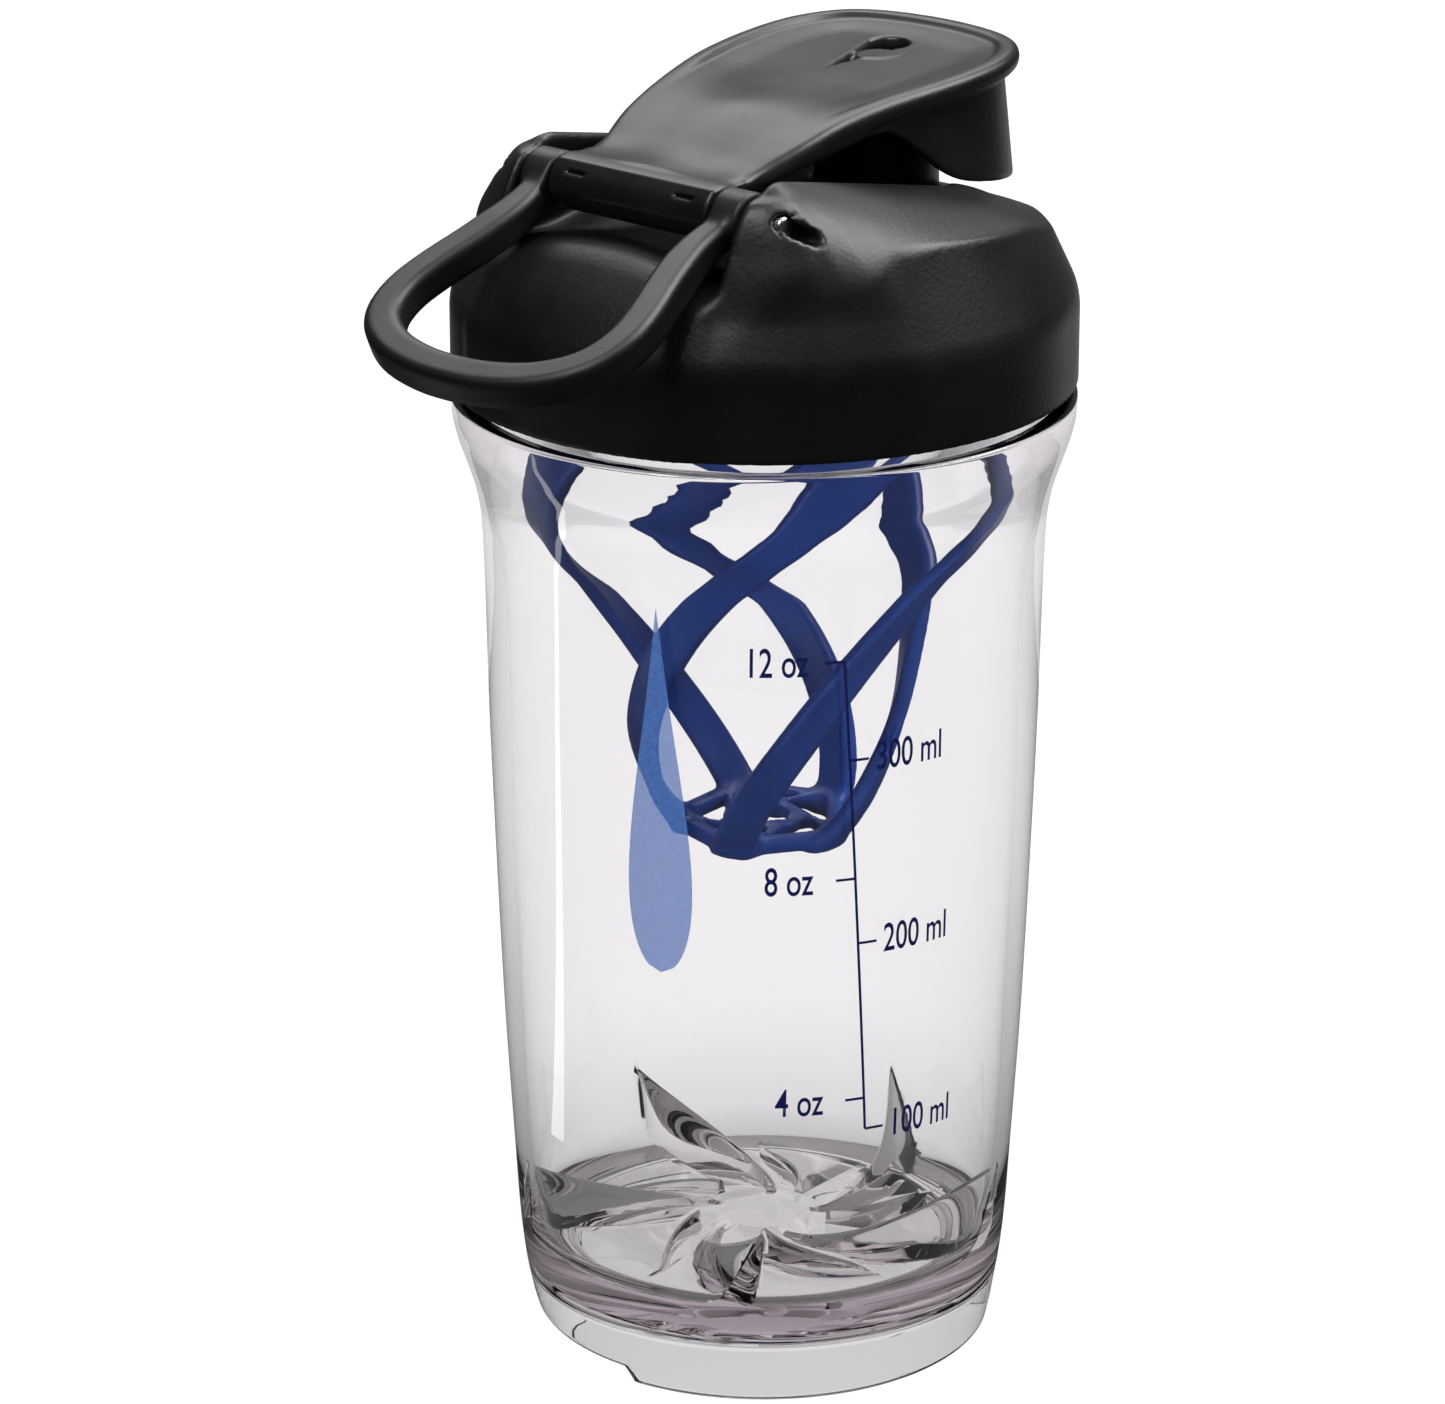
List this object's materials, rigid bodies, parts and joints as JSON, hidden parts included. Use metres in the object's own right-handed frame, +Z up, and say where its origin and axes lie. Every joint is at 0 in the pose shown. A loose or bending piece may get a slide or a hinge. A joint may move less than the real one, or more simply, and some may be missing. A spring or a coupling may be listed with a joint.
{
  "type": "protein shaker bottle",
  "caption": "Clear tapered shaker cup with a black screw lid, flip cap over the spout, carry loop and a blue mixing cage hung under the lid.",
  "frame": {"origin": "under the middle of the whole bottle, on the surface it stands on", "axes": "+Z up the bottle, +X from the carry loop's side to the spout's side, +Y along the hinge pin"},
  "size_m": [0.1064, 0.085, 0.1814],
  "materials": {
    "clear_plastic": "polished transparent",
    "black_lid": "fine moulded grain",
    "black_liner": "smooth satin",
    "black_cap": "satin",
    "black_loop": "soft satin",
    "blue_cage": "satin",
    "seal_rubber": "matt silicone",
    "pin_steel": "turned"
  },
  "bodies": {
    "cup": {"cup": "clear_plastic"},
    "gasket": {"lid_gasket": "seal_rubber"},
    "agitator": {"agitator": "blue_cage"},
    "lid": {"lid_shell": "black_lid", "lid_insert": "black_liner", "hinge_pin": "pin_steel"},
    "flip_cap": {"flip_cap": "black_cap", "spout_seal": "seal_rubber"},
    "carry_loop": {"carry_loop": "black_loop"}
  },
  "joints": [
    {"name": "lid_lift_off", "type": "slide", "parent": "cup", "child": "gasket", "axis": [0, 0, 1], "range_m": [0, 0.085]},
    {"name": "lid_rise", "type": "slide", "parent": "gasket", "child": "agitator", "axis": [0, 0, 1], "range_m": [0, 0.0061]},
    {"name": "lid_turn", "type": "hinge", "parent": "agitator", "child": "lid", "pos_m": [0.01051, 0, 0.145], "axis": [0, 0, 1], "range_deg": [0, 360]},
    {"name": "cap_hinge", "type": "hinge", "parent": "lid", "child": "flip_cap", "pos_m": [-0.01359, 0, 0.168], "axis": [0, -1, 0], "range_deg": [0, 100]},
    {"name": "loop_swing", "type": "hinge", "parent": "lid", "child": "carry_loop", "pos_m": [-0.01359, 0, 0.168], "axis": [0, 1, 0], "range_deg": [0, 45]}
  ],
  "couplings": [
    {"joint": "lid_rise", "follows": "lid_turn", "m_per_rad": 0.00095493}
  ]
}
